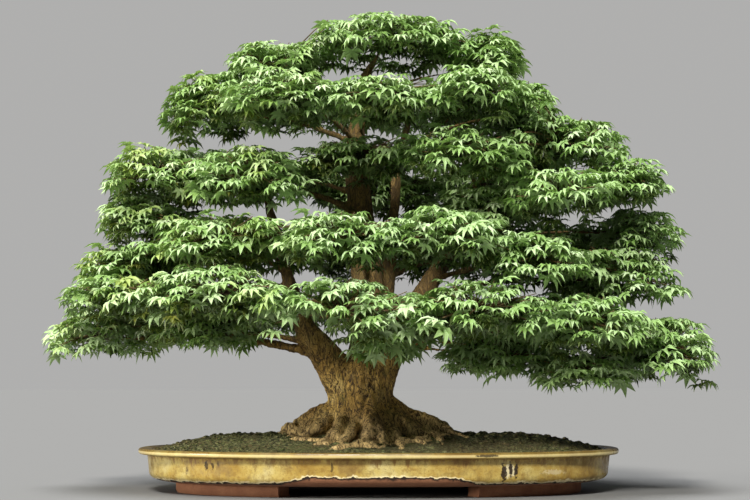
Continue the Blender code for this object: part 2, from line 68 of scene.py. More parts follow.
LEAF_LENGTH = 0.0190  # of the middle lobe
SHOOT_SPACING = 0.0208
SHOOT_TRIES = 560
STRAIGHT_DOWN = -0.75  # a pad's faces that look further down bear no shoots
PAD_TONES = (0.56, 0.70)  # the range of a pad's own brightness
HUB_DROP = 0.45  # how far under its middle a pad's twigs start, as a share of its half height
INNER_SHARE, INNER_SHADE_TONE = 0.25, -0.42  # leaves inside a pad, and how much darker their tone is painted, as painted shade
UNDER_SHARE, UNDER_SHADE_TONE = 0.35, -0.36  # the same, under a pad, where the darker tone is painted shade too
BURIED_DEPTH = 0.65  # shoots deeper than this in another pad are left out
LAYER_HEIGHT = 0.060  # pads whose middles differ by less stand in one layer
WIDEST_BRIDGE = 0.055  # the widest gap between two pads that leaves close
DEEPEST_OVERLAP = -0.04  # pads that overlap more need no bridge
BRIDGE_END = 0.020  # how far a bridge runs into its pads
BRIDGE_WIDTH = 0.72
BRIDGE_MARGIN = 0.050
BRIDGE_SPACING = SHOOT_SPACING * 0.75
SPRAY_PATTERNS = 14
TRUNK_X = -0.022
# Where no leaves grow, so that the limbs show: lowest and highest x, lowest and highest y, and the top.
WINDOWS = [(-0.135, -0.054, -0.36, 0.36, 0.250), (-0.058, 0.075, -0.36, 0.0, 0.196)]

WOOD_VOXEL = 0.0019
BARK_RELIEF = 0.0018
WOOD_KEPT = 0.5
FLARE_X = -0.014
FLARE_START = 0.064  # from the trunk's middle
FLARE_TOP = 0.118
FORK_AT = 0.50  # where a root forks, as a share of its length
ROOT_BEADS = 16

TUFTS = 1500

FLOOR_TINT = (0.205, 0.203, 0.200, 1)
SKY_TINT, BACKDROP_TINT = (0.12, 0.125, 0.135, 1), (0.432, 0.430, 0.424, 1)  # the light, and what is seen
CAMERA_PLACE = (-0.0049, -2.5, 0.1515)
CAMERA_TILT = math.radians(94.2)
CAMERA_LENS = 85.7
# The studio's lights: name, direction, power, softness in degrees, tint.
LIGHTS = [
    ("key", (0.10, 0.86, -0.66), 3.7, 12.0, (1.0, 0.98, 0.93)),
    ("top", (0.10, 0.25, -1.0), 3.6, 34.0, (0.97, 0.99, 1.0)),
    ("side", (0.92, 0.42, -0.13), 1.9, 12.0, (1.0, 0.96, 0.88)),
]

PADS = sorted(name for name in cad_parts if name.startswith("leaves_"))
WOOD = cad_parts["trunk_and_branches"]


# ---------------------------------------------------------------- working by hand, in code
def deselect():
    if bpy.context.mode != "OBJECT":
        bpy.ops.object.mode_set(mode="OBJECT")
    bpy.ops.object.select_all(action="DESELECT")


def hold(item):
    """Makes an object the only selected one, and the active one."""
    deselect()
    item.select_set(True)
    bpy.context.view_layer.objects.active = item
    return item


def edit(item):
    hold(item)
    bpy.ops.object.mode_set(mode="EDIT")


def leave_edit():
    bpy.ops.object.mode_set(mode="OBJECT")


def pick_verts(item, test):
    """Selects, in edit mode, the vertices whose place passes a test. Says whether any did."""
    bpy.ops.mesh.select_mode(type="VERT")
    bm = bmesh.from_edit_mesh(item.data)
    for v in bm.verts:
        v.select = bool(test(v.co))
    bm.select_flush_mode()
    bmesh.update_edit_mesh(item.data)
    return any(v.select for v in bm.verts)


def pick_faces(item, test):
    """Selects, in edit mode, the faces whose middle and normal pass a test."""
    bpy.ops.mesh.select_mode(type="FACE")
    bm = bmesh.from_edit_mesh(item.data)
    for f in bm.faces:
        f.select = bool(test(f.calc_center_median(), f.normal))
    bm.select_flush_mode()
    bmesh.update_edit_mesh(item.data)


def apply_modifier(item, kind, **settings):
    hold(item)
    modifier = item.modifiers.new(kind.lower(), kind)
    for name, value in settings.items():
        setattr(modifier, name, value)
    bpy.ops.object.modifier_apply(modifier=modifier.name)


def joined(items, name):
    """Joins objects into one, named object, at the origin."""
    deselect()
    for item in items:
        item.select_set(True)
    bpy.context.view_layer.objects.active = items[0]
    if len(items) > 1:
        bpy.ops.object.join()
    whole = bpy.context.view_layer.objects.active
    bpy.ops.object.transform_apply(location=True, rotation=True, scale=True)
    whole.name = name
    whole.data.name = name
    return whole


def merged_copy(node, name):
    """A CAD node's mesh as a new object of its own, with its loose triangles merged."""
    item = bpy.data.objects.new(name, node.data.copy())
    bpy.context.scene.collection.objects.link(item)
    item.data.materials.clear()
    edit(item)
    bpy.ops.mesh.select_all(action="SELECT")
    bpy.ops.mesh.remove_doubles(threshold=0.00001)
    bpy.ops.mesh.normals_make_consistent(inside=False)
    leave_edit()
    return item


def smooth(item):
    hold(item)
    bpy.ops.object.shade_smooth()


def finish_piece(item, material, slot, *nodes):
    """Gives a piece its material and its body, and hides the CAD nodes that it stands for. Its slot is not
    used.
    """
    item.data.materials.clear()
    item.data.materials.append(material)
    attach(item, "root")
    if nodes:
        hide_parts(*nodes)
    return item


# ---------------------------------------------------------------- materials
class Nodes:
    """A node tree with short ways to add to it."""

    def __init__(self, tree):
        self.tree = tree

    def add(self, kind, **settings):
        node = self.tree.nodes.new(kind)
        for name, value in settings.items():
            setattr(node, name, value)
        return node

    def link(self, out, socket):
        self.tree.links.new(out, socket)

    def put(self, socket, value):
        """Links an output to a socket, or sets the socket to a constant."""
        if isinstance(value, bpy.types.NodeSocket):
            self.link(value, socket)
        elif value is not None:
            socket.default_value = value

    def maths(self, operation, a, b=None, c=None, clamp=False):
        node = self.add("ShaderNodeMath", operation=operation, use_clamp=clamp)
        for socket, value in zip(node.inputs, (a, b, c)):
            self.put(socket, value)
        return node.outputs[0]

    def times(self, a, b, clamp=False):
        return self.maths("MULTIPLY", a, b, clamp=clamp)

    def scaled(self, value, factor, offset):
        return self.maths("MULTIPLY_ADD", value, factor, offset)

    def vector_maths(self, operation, a, b=None):
        node = self.add("ShaderNodeVectorMath", operation=operation)
        self.put(node.inputs[0], a)
        self.put(node.inputs[1], b)
        return node.outputs

    def split(self, vector):
        """A vector's parts: outputs X, Y and Z."""
        node = self.add("ShaderNodeSeparateXYZ")
        self.link(vector, node.inputs[0])
        return node.outputs

    def step(self, value, low, high):
        """0 below low, 1 above high, smooth between. Low may be the greater, which turns it round."""
        node = self.add("ShaderNodeMapRange", interpolation_type="SMOOTHSTEP")
        turned = low > high
        self.put(node.inputs["Value"], value)
        node.inputs["From Min"].default_value = high if turned else low
        node.inputs["From Max"].default_value = low if turned else high
        node.inputs["To Min"].default_value = 1.0 if turned else 0.0
        node.inputs["To Max"].default_value = 0.0 if turned else 1.0
        return node.outputs[0]

    def noise(self, vector, scale, detail=4.0, roughness=0.6, distortion=0.0):
        node = self.add("ShaderNodeTexNoise")
        self.put(node.inputs["Vector"], vector)
        self.put(node.inputs["Scale"], scale)
        node.inputs["Detail"].default_value = detail
        node.inputs["Roughness"].default_value = roughness
        node.inputs["Distortion"].default_value = distortion
        return node.outputs["Fac"]

    def cells(self, vector, scale, feature="F1"):
        node = self.add("ShaderNodeTexVoronoi", feature=feature)
        self.put(node.inputs["Vector"], vector)
        self.put(node.inputs["Scale"], scale)
        return node

    def mix(self, share, a, b, blend="MIX"):
        node = self.add("ShaderNodeMix", data_type="RGBA", blend_type=blend)
        self.put(node.inputs[0], share)
        self.put(node.inputs[6], a)
        self.put(node.inputs[7], b)
        return node.outputs[2]

    def ramp(self, value, *stops):
        node = self.add("ShaderNodeValToRGB")
        elements = node.color_ramp.elements
        while len(elements) < len(stops):
            elements.new(0.5)
        for element, (place, colour) in zip(elements, stops):
            element.position = place
            element.color = colour
        self.put(node.inputs[0], value)
        return node.outputs[0]

    def place(self, scale=(1, 1, 1)):
        """Object coordinates, stretched."""
        where = self.add("ShaderNodeTexCoord")
        node = self.add("ShaderNodeMapping")
        node.inputs["Scale"].default_value = scale
        self.link(where.outputs["Object"], node.inputs["Vector"])
        return node.outputs[0]

    def bump(self, height, strength, distance, under=None):
        node = self.add("ShaderNodeBump")
        node.inputs["Strength"].default_value = strength
        node.inputs["Distance"].default_value = distance
        self.put(node.inputs["Height"], height)
        if under:
            self.link(under, node.inputs["Normal"])
        return node.outputs[0]

    def group(self, tree, **values):
        node = self.add("ShaderNodeGroup", node_tree=tree)
        for name, value in values.items():
            self.put(node.inputs[name], value)
        return node.outputs

    def patches(self, where, scale, cover):
        return self.group(PATCHES, Vector=where, Scale=scale, Cover=cover)["Mask"]


def colour(red, green, blue):
    """A colour from its red, green and blue as a paint chart gives them, 0 to 255."""
    return tuple(((part / 255) ** 2.2) for part in (red, green, blue)) + (1.0,)


def new_group(name, inputs, outputs):
    tree = bpy.data.node_groups.new(name, "ShaderNodeTree")
    for label, kind in inputs:
        tree.interface.new_socket(name=label, in_out="INPUT", socket_type=kind)
    for label, kind in outputs:
        tree.interface.new_socket(name=label, in_out="OUTPUT", socket_type=kind)
    nodes = Nodes(tree)
    return tree, nodes, nodes.add("NodeGroupInput").outputs, nodes.add("NodeGroupOutput").inputs


def patches_group():
    """Soft-edged patches: dirt, algae, lichen and stains."""
    tree, n, given, out = new_group(
        "patches",
        [("Vector", "NodeSocketVector"), ("Scale", "NodeSocketFloat"), ("Cover", "NodeSocketFloat")],
        [("Mask", "NodeSocketFloat")],
    )
    broad = n.noise(given["Vector"], given["Scale"], detail=6.0, roughness=0.68)
    edge = n.maths("SUBTRACT", 1.0, given["Cover"])
    lifted = n.maths("SUBTRACT", broad, n.scaled(edge, 0.5, 0.24))
    n.link(n.times(lifted, 9.0, clamp=True), out["Mask"])
    return tree


def grit_group():
    """The height of a granular surface: grains of two sizes and fine dust."""
    tree, n, given, out = new_group(
        "grit",
        [("Vector", "NodeSocketVector"), ("Grain", "NodeSocketFloat")],
        [("Height", "NodeSocketFloat"), ("Tint", "NodeSocketFloat")],
    )
    coarse = n.cells(given["Vector"], given["Grain"])
    fine = n.cells(given["Vector"], n.times(given["Grain"], 2.7))
    high = n.maths("SUBTRACT", 1.0, n.maths("ADD", coarse.outputs["Distance"], fine.outputs["Distance"]))
    n.link(high, out["Height"])
    split = n.add("ShaderNodeSeparateColor")
    n.link(coarse.outputs["Color"], split.inputs[0])
    n.link(split.outputs[0], out["Tint"])
    return tree


def mark_group():
    """One worn or stained mark on the glaze: an oval with a ragged edge, 1 inside it and 0 outside."""
    tree, n, given, out = new_group(
        "mark",
        [("Vector", "NodeSocketVector"), ("Centre", "NodeSocketVector"), ("Size", "NodeSocketVector")],
        [("Mask", "NodeSocketFloat")],
    )
    away = n.vector_maths("SUBTRACT", given["Vector"], given["Centre"])[0]
    shared = n.vector_maths("DIVIDE", away, given["Size"])[0]
    long = n.vector_maths("LENGTH", shared)
    ragged = n.scaled(n.noise(given["Vector"], 300.0, 3.0), 1.8, -0.90)
    n.link(n.step(n.maths("ADD", long["Value"], ragged), 1.05, 0.75), out["Mask"])
    return tree


PATCHES, GRIT, MARK = patches_group(), grit_group(), mark_group()


def new_material(name):
    """A material with its Principled shader, ready for its colour, roughness and normal."""
    material = bpy.data.materials.new(name)
    material.use_nodes = True
    nodes = Nodes(material.node_tree)
    shader = next(n for n in material.node_tree.nodes if n.type == "BSDF_PRINCIPLED")
    return material, nodes, shader


def leaf_material():
    material, n, shader = new_material("maple_leaf")
    tone = n.add("ShaderNodeAttribute", attribute_name="tone").outputs["Fac"]
    uv = n.split(n.add("ShaderNodeUVMap", uv_map="UVMap").outputs[0])
    across = n.maths("ABSOLUTE", n.maths("SUBTRACT", uv["X"], 0.5))
    midrib = n.step(across, 0.085, 0.03)
    slant = n.scaled(across, -1.1, uv["Y"])
    veins = n.step(n.maths("PINGPONG", n.times(slant, 7.0), 0.5), 0.40, 0.49)
    mottle = n.noise(n.place(), 95.0, 3.0)
    lively = n.maths("ADD", tone, n.scaled(mottle, 0.30, -0.15), clamp=True)
    blade = n.ramp(
        lively,
        (0.0, colour(22, 42, 12)),
        (0.28, colour(74, 112, 46)),
        (0.52, colour(146, 184, 106)),
        (0.74, colour(198, 226, 168)),
        (1.0, colour(226, 241, 204)),
    )
    leftwards = n.step(n.split(n.place())["X"], 0.05, -0.30)
    ageing = n.patches(n.place(), 16.0, 0.45)
    yellowed = n.times(leftwards, ageing)
    blade = n.mix(n.scaled(yellowed, 0.40, 0.04), blade, colour(196, 194, 84))
    ribbed = n.mix(n.times(midrib, 0.55), blade, colour(188, 210, 140))
    veined = n.mix(n.times(veins, 0.20), ribbed, colour(176, 200, 122))
    tip = n.step(uv["Y"], 0.86, 1.0)
    tipped = n.mix(n.times(tip, 0.30), veined, colour(150, 128, 70))
    behind = n.add("ShaderNodeNewGeometry").outputs["Backfacing"]
    shown = n.mix(n.times(behind, 0.45), tipped, colour(120, 146, 96))
    n.put(shader.inputs["Base Color"], shown)
    n.put(shader.inputs["Roughness"], n.scaled(mottle, 0.22, 0.26))
    relief = n.maths("ADD", n.times(midrib, -1.0), n.times(veins, -0.4))
    normal = n.bump(relief, 0.6, 0.0006)
    n.put(shader.inputs["Normal"], normal)
    through = n.add("ShaderNodeBsdfTranslucent")
    n.put(through.inputs["Color"], n.mix(0.5, shown, colour(150, 190, 60)))
    mixed = n.add("ShaderNodeMixShader")
    mixed.inputs[0].default_value = 0.24
    n.link(shader.outputs[0], mixed.inputs[1])
    n.link(through.outputs[0], mixed.inputs[2])
    output = next(node for node in material.node_tree.nodes if node.type == "OUTPUT_MATERIAL")
    n.link(mixed.outputs[0], output.inputs["Surface"])
    return material


def bark_material():
    material, n, shader = new_material("maple_bark")
    along = n.place(scale=(1.0, 1.0, 0.34))
    height = n.split(n.place())["Z"]
    wavy = n.noise(along, 150.0, 3.0, 0.55, 0.8)
    fine = n.noise(along, 380.0, 4.0, 0.65, 0.4)
    ridge = n.maths("ABSOLUTE", n.scaled(wavy, 2.0, -1.0))
    split = n.maths("ABSOLUTE", n.scaled(fine, 2.0, -1.0))
    hairline = n.scaled(n.step(split, 0.0, 0.16), 0.6, 0.4)
    plates = n.times(n.step(ridge, 0.0, 0.13), hairline)
    hue = n.noise(n.place(), 26.0, 4.0)
    lit = n.ramp(
        hue, (0.30, colour(158, 122, 56)), (0.48, colour(198, 158, 78)), (0.62, colour(220, 184, 102)),
        (0.78, colour(230, 204, 138)),
    )
    cracked = n.mix(plates, colour(60, 42, 20), lit)
    flecked = n.mix(n.times(n.step(fine, 0.60, 0.74), 0.5), cracked, colour(222, 194, 130))
    # Wood higher up, among the leaves, is painted darker: painted shade under the canopy.
    high = n.step(height, 0.16, 0.26)
    canopy_shaded_wood = n.mix(n.times(high, 0.7), flecked, colour(84, 68, 42))
    toes = n.step(height, 0.118, 0.078)
    pale = n.mix(n.times(toes, n.times(plates, 0.60)), canopy_shaded_wood, colour(234, 206, 150))
    algae = n.patches(n.place(), 30.0, 0.36)
    green = n.mix(n.times(algae, 0.42), pale, colour(104, 104, 46))
    n.put(shader.inputs["Base Color"], green)
    n.put(shader.inputs["Roughness"], n.scaled(fine, 0.25, 0.62))
    coarse = n.bump(plates, 0.8, 0.0012)
    n.put(shader.inputs["Normal"], n.bump(fine, 0.6, 0.0010, under=coarse))
    return material


def moss_material():
    material, n, shader = new_material("moss_cushion")
    where = n.place()
    grains = n.group(GRIT, Vector=where, Grain=330.0)
    depth = n.noise(where, 230.0, 6.0, 0.8)
    field = n.noise(where, 9.0, 3.0)
    # The colour follows the relief that the bump below uses: near-black in its hollows, which is painted
    # shade, and pale on its tops, which is paler moss tips and painted highlight.
    green = n.ramp(
        depth, (0.42, colour(14, 18, 6)), (0.48, colour(84, 94, 38)), (0.52, colour(168, 174, 88)),
        (0.58, colour(232, 230, 164)),
    )
    brown = n.mix(n.times(n.step(field, 0.48, 0.64), 0.5), green, colour(128, 104, 60))
    bright = n.patches(where, 13.0, 0.30)
    fresh = n.mix(n.times(bright, 0.5), brown, colour(138, 164, 66))
    flecks = n.step(grains["Tint"], 0.80, 0.86)
    flecked = n.mix(n.times(flecks, 0.7), fresh, colour(184, 156, 104))
    # Darker in the hollows between the grains: painted shade.
    painted_grain_shade = n.step(grains["Height"], 0.45, 0.20)
    n.put(shader.inputs["Base Color"], n.mix(n.times(painted_grain_shade, 0.6), flecked, colour(40, 40, 18)))
    n.put(shader.inputs["Roughness"], n.scaled(depth, 0.2, 0.75))
    rough = n.bump(depth, 1.0, 0.004)
    n.put(shader.inputs["Normal"], n.bump(grains["Height"], 1.0, 0.0016, under=rough))
    return material


def soil_material():
    material, n, shader = new_material("bonsai_soil")
    where = n.place()
    grains = n.group(GRIT, Vector=where, Grain=230.0)
    tint = n.ramp(
        grains["Tint"], (0.0, colour(46, 34, 22)), (0.5, colour(88, 66, 42)), (0.8, colour(128, 100, 70)),
        (1.0, colour(150, 140, 124)),
    )
    damp = n.patches(where, 20.0, 0.5)
    n.put(shader.inputs["Base Color"], n.mix(n.times(damp, 0.6), tint, colour(34, 26, 18)))
    n.put(shader.inputs["Roughness"], n.scaled(grains["Tint"], 0.2, 0.75))
    n.put(shader.inputs["Normal"], n.bump(grains["Height"], 1.0, 0.002))
    return material


# Old chips, drips and scratches on the front of the tray: (x, z, half width, half height, amount, pale).
GLAZE_MARKS = [
    (-0.2250, 0.0415, 0.0030, 0.0070, 0.85, False), (-0.2165, 0.0415, 0.0024, 0.0064, 0.80, False),
    (-0.2090, 0.0440, 0.0018, 0.0045, 0.60, False), (-0.2520, 0.0345, 0.0018, 0.0070, 0.60, False),
    (-0.0600, 0.0420, 0.0020, 0.0072, 0.70, False), (0.1690, 0.0362, 0.0105, 0.0100, 0.55, True),
    (0.1612, 0.0345, 0.0042, 0.0128, 0.97, False), (0.1704, 0.0372, 0.0028, 0.0118, 0.97, False),
    (0.1776, 0.0366, 0.0034, 0.0104, 0.97, False), (0.1400, 0.0560, 0.0170, 0.0020, 0.85, False),
    (0.0900, 0.0320, 0.0100, 0.0030, 0.25, False), (0.2300, 0.0330, 0.0200, 0.0040, 0.30, True),
]


def clay_material():
    """Yellow glaze on brown clay. The tray's glazed attribute is its height over the glaze's ragged edge."""
    material, n, shader = new_material("yellow_glaze_on_clay")
    where = n.place()
    over = n.add("ShaderNodeAttribute", attribute_name="glazed").outputs["Fac"]
    scalloped = n.scaled(n.noise(where, 85.0, 3.0), 0.0110, -0.0055)
    ragged = n.maths("ADD", scalloped, n.scaled(n.noise(where, 330.0, 3.0), 0.0034, -0.0017))
    edge = n.maths("ADD", over, ragged)
    covered = n.step(edge, -0.0002, 0.0003)
    bead = n.times(covered, n.step(edge, 0.0028, 0.0008))
    # A dark band runs just under the glaze's edge.
    band_under_glaze = n.times(n.step(edge, -0.0042, -0.0010), n.step(edge, 0.0004, -0.0002))
    cloud = n.noise(where, 16.0, 6.0, 0.66)
    body = n.ramp(
        cloud, (0.34, colour(146, 114, 50)), (0.46, colour(176, 146, 72)), (0.58, colour(196, 174, 100)),
        (0.72, colour(206, 192, 136)),
    )
    blotch = n.step(n.noise(where, 95.0, 7.0, 0.8), 0.50, 0.60)
    mottled = n.mix(n.times(blotch, 0.55), body, colour(132, 100, 44))
    crackle = n.step(n.cells(where, 300.0, "DISTANCE_TO_EDGE").outputs["Distance"], 0.04, 0.0)
    aged = n.mix(n.times(crackle, 0.25), mottled, colour(128, 96, 46))
    specks = n.step(n.noise(where, 520.0, 3.0), 0.62, 0.68)
    speckled = n.mix(n.times(specks, 0.55), aged, colour(110, 80, 40))
    height = n.split(where)["Z"]
    hang = n.noise(n.place(scale=(1.0, 1.0, 0.16)), 120.0, 5.0, 0.7)
    reach = n.scaled(hang, 0.058, n.maths("SUBTRACT", height, 0.0270))
    below_lip = n.step(height, 0.0530, 0.0515)
    drips = n.times(n.step(reach, 0.0480, 0.0560), below_lip)
    dripped = n.mix(n.times(drips, 0.80), speckled, colour(122, 86, 40))
    grime = n.patches(n.place(scale=(1.0, 1.0, 0.7)), 42.0, 0.46)
    stained = n.mix(n.times(grime, 0.50), dripped, colour(104, 78, 38))
    rim_top = n.step(height, 0.0566, 0.0578)
    worn = n.times(rim_top, n.scaled(n.noise(where, 70.0, 5.0), 0.7, 0.35))
    rimmed = n.mix(worn, stained, colour(104, 84, 46))
    # The lip's front face is painted pale cream: a painted highlight along the edge.
    over_wall = n.step(height, 0.0530, 0.0542)
    lip_highlight = n.times(over_wall, n.step(height, 0.0576, 0.0564))
    lip = n.mix(n.times(lip_highlight, 0.55), rimmed, colour(240, 222, 160))
    shown = n.mix(n.times(bead, 0.85), lip, colour(244, 228, 178))
    for x, z, wide, high, amount, pale in GLAZE_MARKS:
        mark = n.group(MARK, Vector=where, Centre=(x, -TRAY_HALF_DEPTH, z), Size=(wide, 0.12, high))["Mask"]
        hue = colour(246, 236, 200) if pale else colour(44, 30, 18)
        shown = n.mix(n.times(mark, amount), shown, hue)
    grains = n.group(GRIT, Vector=where, Grain=700.0)
    raw = n.mix(n.noise(where, 50.0, 5.0), colour(112, 66, 42), colour(178, 124, 90))
    clay = n.mix(n.times(grains["Tint"], 0.25), raw, colour(84, 58, 44))
    band_darkened = n.mix(band_under_glaze, clay, colour(40, 26, 18))
    n.put(shader.inputs["Base Color"], n.mix(covered, band_darkened, shown))
    glossy = n.scaled(cloud, 0.22, 0.16)
    dull = n.times(n.maths("MAXIMUM", drips, grime), 0.30)
    n.put(
        shader.inputs["Roughness"],
        n.maths("MAXIMUM", n.maths("ADD", glossy, dull), n.scaled(covered, -0.6, 0.86)),
    )
    pores = n.times(grains["Height"], n.maths("SUBTRACT", 1.0, covered))
    ripple = n.times(n.noise(where, 36.0, 3.0), covered)
    soft = n.bump(ripple, 0.35, 0.0016)
    ledge = n.bump(covered, 0.6, 0.0008, under=soft)
    n.put(shader.inputs["Normal"], n.bump(pores, 0.5, 0.0004, under=ledge))
    return material


def twig_material():
    material, n, shader = new_material("twig_bark")
    where = n.place(scale=(1.0, 1.0, 0.5))
    hue = n.noise(where, 60.0, 4.0)
    skin = n.ramp(hue, (0.32, colour(58, 44, 24)), (0.55, colour(96, 76, 42)), (0.75, colour(128, 108, 66)))
    lenticels = n.step(n.noise(where, 700.0, 2.0), 0.62, 0.70)
    dotted = n.mix(n.times(lenticels, 0.4), skin, colour(170, 150, 110))
    n.put(shader.inputs["Base Color"], dotted)
    n.put(shader.inputs["Roughness"], n.scaled(hue, 0.3, 0.5))
    n.put(shader.inputs["Normal"], n.bump(n.noise(where, 420.0, 3.0), 0.4, 0.0005))
    return material


def plain_finish(name, dark, light, grain, rough, metallic=0.0):
    """A fine, slightly uneven finish for the small parts under the soil."""
    material, n, shader = new_material(name)
    where = n.place()
    wear = n.patches(where, 90.0, 0.4)
    fine = n.noise(where, grain, 3.0)
    lightness = n.scaled(fine, 0.7, n.times(wear, 0.3))
    n.put(shader.inputs["Base Color"], n.mix(lightness, dark, light))
    n.put(shader.inputs["Roughness"], n.scaled(wear, 0.2, rough))
    shader.inputs["Metallic"].default_value = metallic
    n.put(shader.inputs["Normal"], n.bump(fine, 0.3, 0.0003))
    return material


# ---------------------------------------------------------------- the leaves
def lobe(length, width, turn, rows, arch, droop, fold):
    """One pointed lobe of a leaf: a narrow blade folded on its midrib, rising and then hanging to its tip."""
    bpy.ops.mesh.primitive_grid_add(x_subdivisions=2, y_subdivisions=rows, size=1.0)
    blade = bpy.context.object
    edit(blade)
    bpy.ops.transform.translate(value=(0, 0.5, 0))
    bpy.ops.transform.resize(value=(width, length, 1), center_override=(0, 0, 0))
    widths = {2: (0.34, 1.0, 0.0), 3: (0.30, 1.0, 0.66, 0.0)}[rows]
    rises = {2: (0.0, 0.8, -1.0), 3: (0.0, 1.0, 0.55, -1.0)}[rows]
    for row in range(rows + 1):
        at = length * row / rows
        pick_verts(blade, lambda co: abs(co.y - at) < length * 0.02)
        if row < rows:
            bpy.ops.transform.resize(value=(widths[row], 1, 1), center_override=(0, at, 0))
        else:
            bpy.ops.mesh.merge(type="CENTER")
        rise = rises[row] * (arch if rises[row] > 0 else droop)
        bpy.ops.transform.translate(value=(0, 0, rise))
    pick_verts(blade, lambda co: abs(co.x) < 1e-5 and co.y < length * 0.99)
    bpy.ops.transform.translate(value=(0, 0, -fold))
    bpy.ops.mesh.select_all(action="SELECT")
    leave_edit()
    blade.data.transform(Matrix.Rotation(turn, 4, "Z"))
    return blade


def leaf(name, seed, lobes, slender, hang):
    """A palmate maple leaf, its stalk's end at the origin, its middle lobe along +Y and its top up."""
    rng = random.Random(seed)
    spread = math.radians(39 if lobes == 7 else 45)
    parts = []
    for k in range(lobes):
        side = k - lobes // 2
        share = (1.0, 0.90, 0.70, 0.40)[abs(side)] * rng.uniform(0.92, 1.08)
        length = LEAF_LENGTH * share
        parts.append(
            lobe(
                length,
                LEAF_LENGTH * slender * (0.55 + 0.45 * share),
                -side * spread * rng.uniform(0.94, 1.06),
                3 if side == 0 else 2,
                length * rng.uniform(0.08, 0.16),
                length * hang * rng.uniform(0.7, 1.3),
                length * rng.uniform(0.05, 0.09),
            )
        )
    stalk_length = LEAF_LENGTH * 0.62
    bpy.ops.mesh.primitive_cone_add(
        vertices=3, radius1=0.0005, radius2=0.00035, depth=stalk_length, end_fill_type="NOTHING",
        location=(0, -stalk_length * 0.42, -stalk_length * 0.22), rotation=(math.radians(-62), 0, 0),
    )
    parts.append(bpy.context.object)
    whole = joined(parts, name)
    whole.data.attributes.new("tone", "FLOAT", "POINT")
    smooth(whole)
    return whole


def leaf_patterns():
    """Leaves of a few kinds, by the number of lobes, their width and how far they hang."""
    shapes = [
        (7, 0.32, 0.18), (7, 0.29, 0.28), (5, 0.36, 0.20), (7, 0.34, 0.12), (5, 0.31, 0.34), (7, 0.30, 0.40),
    ]
    return [leaf(f"leaf_pattern_{k}", k + 11, *shape) for k, shape in enumerate(shapes)]


def frame_of(towards, up):
    """A turn that takes +Y to a direction and +Z as near to up as it can."""
    along = towards.normalized()
    across = along.cross(up).normalized()
    over = across.cross(along)
    return Matrix((across, along, over)).transposed().to_4x4()


def placed_copy(pattern, matrix, brighter=0.0):
    """A copy of a pattern with its own mesh, put in place in that mesh. A leaf's tone may be shifted."""
    mesh = pattern.data.copy()
    mesh.transform(matrix)
    if brighter and "tone" in mesh.attributes:
        values = mesh.attributes["tone"].data
        tones = np.empty(len(values), np.float32)
        values.foreach_get("value", tones)
        values.foreach_set("value", tones + np.float32(brighter))
    item = bpy.data.objects.new(pattern.name, mesh)
    bpy.context.scene.collection.objects.link(item)
    return item


def sized(place, turn, size):
    return Matrix.Translation(place) @ turn @ Matrix.Diagonal((size, size, size, 1))


def spray(name, seed, leaves):
    """One shoot's leaves, round its end at the origin and facing +Z: pairs, and on most an end leaf too."""
    rng = random.Random(seed)
    spokes = [0.5, -0.5, 1.5, -1.5, 2.6] if seed % 3 == 0 else [0.0, 1.0, -1.0, 2.0, -2.0]
    parts = []
    for order, spoke in enumerate(spokes):
        heading = math.radians(90 + 60 * spoke) + rng.uniform(-0.25, 0.25)
        flat = Vector((math.cos(heading), math.sin(heading), 0))
        lean = Vector((rng.uniform(-0.3, 0.3), rng.uniform(-0.3, 0.3), 1.0))
        facing = (lean + flat * rng.uniform(0.15, 0.55)).normalized()
        along = (flat - facing * flat.dot(facing)).normalized()
        base = along * LEAF_LENGTH * rng.uniform(0.3, 0.7)
        base -= Vector((0, 0, 0.0024 * order * rng.uniform(0.4, 1.3)))
        matrix = sized(base, frame_of(along, facing), rng.uniform(0.78, 1.2))
        # Each later leaf sits a little lower and gets a slightly darker tone: painted shade.
        parts.append(placed_copy(rng.choice(leaves), matrix, rng.gauss(0, 0.13) - 0.025 * order))
    whole = joined(parts, name)
    smooth(whole)
    return whole


def pad_faces(node):
    """A pad's faces as (corners, normal, area), without those that look straight down."""
    mesh = node.data
    found = []
    for polygon in mesh.polygons:
        corners = [mesh.vertices[i].co.copy() for i in polygon.vertices]
        if polygon.normal.z > STRAIGHT_DOWN:
            found.append((corners, polygon.normal.copy(), polygon.area))
    return found


def point_in(corners, rng):
    a, b = rng.random(), rng.random()
    if a + b > 1:
        a, b = 1 - a, 1 - b
    return corners[0] + (corners[1] - corners[0]) * a + (corners[2] - corners[0]) * b


def depth_in(point, pad):
    """How deep a point lies in a pad: 0 at its middle and 1 at its surface."""
    middle, half = PAD_ROOM[pad]
    away = point - middle
    return math.sqrt((away.x / half.x) ** 2 + (away.y / half.y) ** 2 + (away.z / half.z) ** 2)


def buried(point, own=None):
    """Whether a point lies well inside a pad other than its own."""
    return any(pad != own and depth_in(point, pad) < BURIED_DEPTH for pad in PADS)


def in_window(point):
    """Whether a leaf here would hide the limbs and the sky between them, which stay in sight."""
    return any(
        low_x < point.x < high_x and low_y < point.y < high_y and point.z < top
        for low_x, high_x, low_y, high_y, top in WINDOWS
    )


def shoots_of(name, rng):
    """Where a pad's shoots end: (point, normal) pairs spread over its top and sides."""
    faces = pad_faces(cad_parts[name])
    weights = [area * (1.0 if normal.z > 0 else 0.6) for _, normal, area in faces]
    found = []
    for _ in range(SHOOT_TRIES):
        corners, normal, _ = rng.choices(faces, weights)[0]
        point = point_in(corners, rng)
        clear = all((point - other).length > SHOOT_SPACING for other, _ in found)
        if clear and not buried(point, name) and not in_window(point):
            found.append((point, normal))
    return found


def reach_of(pad, towards):
    """How far a pad reaches from its middle in a level direction."""
    half = PAD_ROOM[pad][1]
    return 1 / math.hypot(towards.x / half.x, towards.y / half.y)


